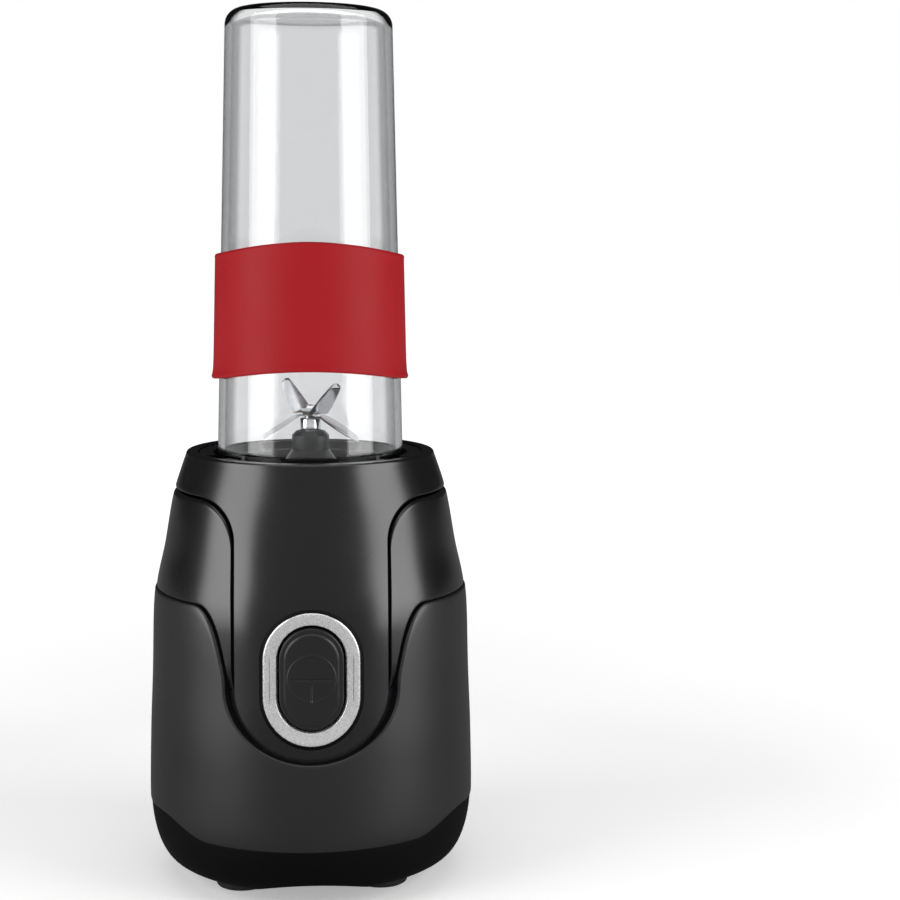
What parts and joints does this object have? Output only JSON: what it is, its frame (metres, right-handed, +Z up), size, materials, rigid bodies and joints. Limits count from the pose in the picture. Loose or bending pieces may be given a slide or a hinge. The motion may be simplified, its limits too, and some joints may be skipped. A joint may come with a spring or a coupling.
{
  "type": "countertop blender",
  "caption": "Personal countertop blender: a motor base with a push button, a locking blade cup and an upturned clear bottle with a grip sleeve.",
  "frame": {"origin": "centre of the footprint on the worktop", "axes": "+Z up, the button faces -Y, +X to the user's right"},
  "size_m": [0.1332, 0.1332, 0.35],
  "materials": {
    "satin_black": "satin, faintly textured",
    "matt_black": "matt, fine texture",
    "grey_plastic": "matt",
    "button_ring": "bright satin metal plate",
    "button_black": "satin",
    "seat_black": "satin",
    "cup_black": "semi-gloss",
    "clear_plastic": "clear, polished",
    "red_silicone": "matt silicone",
    "blade_steel": "ground and polished",
    "shaft_steel": "turned",
    "fastener_steel": "zinc plated",
    "black_rubber": "matt",
    "seal_silicone": "matt",
    "coupler_nylon": "moulded nylon",
    "white_nylon": "moulded nylon",
    "bronze": "sintered",
    "copper_winding": "enamelled copper wire",
    "core_steel": "laminated steel",
    "bearing_steel": "ground",
    "bracket_alloy": "die cast",
    "brush_carbon": "pressed carbon",
    "brush_brass": "pressed brass",
    "board_green": "solder mask",
    "switch_plastic": "moulded"
  },
  "bodies": {
    "base": {"upper_housing": "satin_black", "flank_left": "satin_black", "flank_right": "satin_black", "lower_shell": "satin_black", "base_skirt": "matt_black", "bottom_plate": "matt_black", "inner_housing": "grey_plastic", "switch_frame": "grey_plastic", "button_bezel": "button_ring", "cup_seat": "seat_black", "motor_post_left": "shaft_steel", "motor_post_right": "shaft_steel", "bottom_screw_1": "fastener_steel", "bottom_screw_2": "fastener_steel", "bottom_screw_3": "fastener_steel", "bottom_screw_4": "fastener_steel", "button_spring": "fastener_steel", "interlock_spring": "fastener_steel", "foot_front_left": "black_rubber", "foot_front_right": "black_rubber", "foot_back_left": "black_rubber", "foot_back_right": "black_rubber", "cable_inlet": "black_rubber", "motor_mount_left": "black_rubber", "motor_mount_right": "black_rubber", "field_coil_upper": "copper_winding", "field_coil_lower": "copper_winding", "stator_core": "core_steel", "lower_bearing": "bearing_steel", "upper_bearing": "bearing_steel", "lower_bracket": "bracket_alloy", "upper_bracket": "bracket_alloy", "brush_left": "brush_carbon", "brush_right": "brush_carbon", "brush_holder_left": "brush_brass", "brush_holder_right": "brush_brass", "control_board": "board_green", "power_switch": "switch_plastic", "interlock_switch": "switch_plastic"},
    "button": {"power_button": "button_black"},
    "rotor": {"motor_shaft": "shaft_steel", "rotor_core": "core_steel", "rotor_winding_upper": "copper_winding", "rotor_winding_lower": "copper_winding", "commutator": "copper_winding", "cooling_fan": "white_nylon", "drive_coupler": "coupler_nylon"},
    "cup": {"blade_cup": "cup_black", "gasket": "seal_silicone", "shaft_bush": "bronze", "shaft_seal": "black_rubber"},
    "bottle": {"bottle": "clear_plastic", "grip_sleeve": "red_silicone"},
    "blades": {"blade_shaft": "shaft_steel", "blade_spacer": "blade_steel", "lower_blade": "blade_steel", "upper_blade": "blade_steel", "blade_nut": "blade_steel", "driven_coupler": "coupler_nylon"},
    "pin": {"interlock_pin": "white_nylon"}
  },
  "joints": [
    {"name": "button_press", "type": "slide", "parent": "base", "child": "button", "axis": [0, 1, 0], "range_m": [0, 0.0025], "stiffness_N_per_m": 600, "springref_m": -0.001},
    {"name": "motor_spin", "type": "hinge", "parent": "base", "child": "rotor", "pos_m": [0, 0, 0.06], "axis": [0, 0, 1], "continuous": true},
    {"name": "cup_turn", "type": "hinge", "parent": "base", "child": "cup", "pos_m": [0, 0, 0.1475], "axis": [0, 0, 1], "range_deg": [0, 25]},
    {"name": "bottle_unscrew", "type": "hinge", "parent": "cup", "child": "bottle", "pos_m": [0, 0, 0.16], "axis": [0, 0, 1], "range_deg": [0, 270]},
    {"name": "blade_spin", "type": "hinge", "parent": "cup", "child": "blades", "pos_m": [0, 0, 0.1881], "axis": [0, 0, 1], "continuous": true},
    {"name": "pin_rise", "type": "slide", "parent": "base", "child": "pin", "axis": [0, 0, 1], "range_m": [0, 0.0025], "deforming": ["interlock_spring"]}
  ],
  "couplings": [
    {"joint": "blade_spin", "follows": "motor_spin", "ratio": 1},
    {"joint": "pin_rise", "follows": "cup_turn", "m_per_rad": 0.005707}
  ]
}
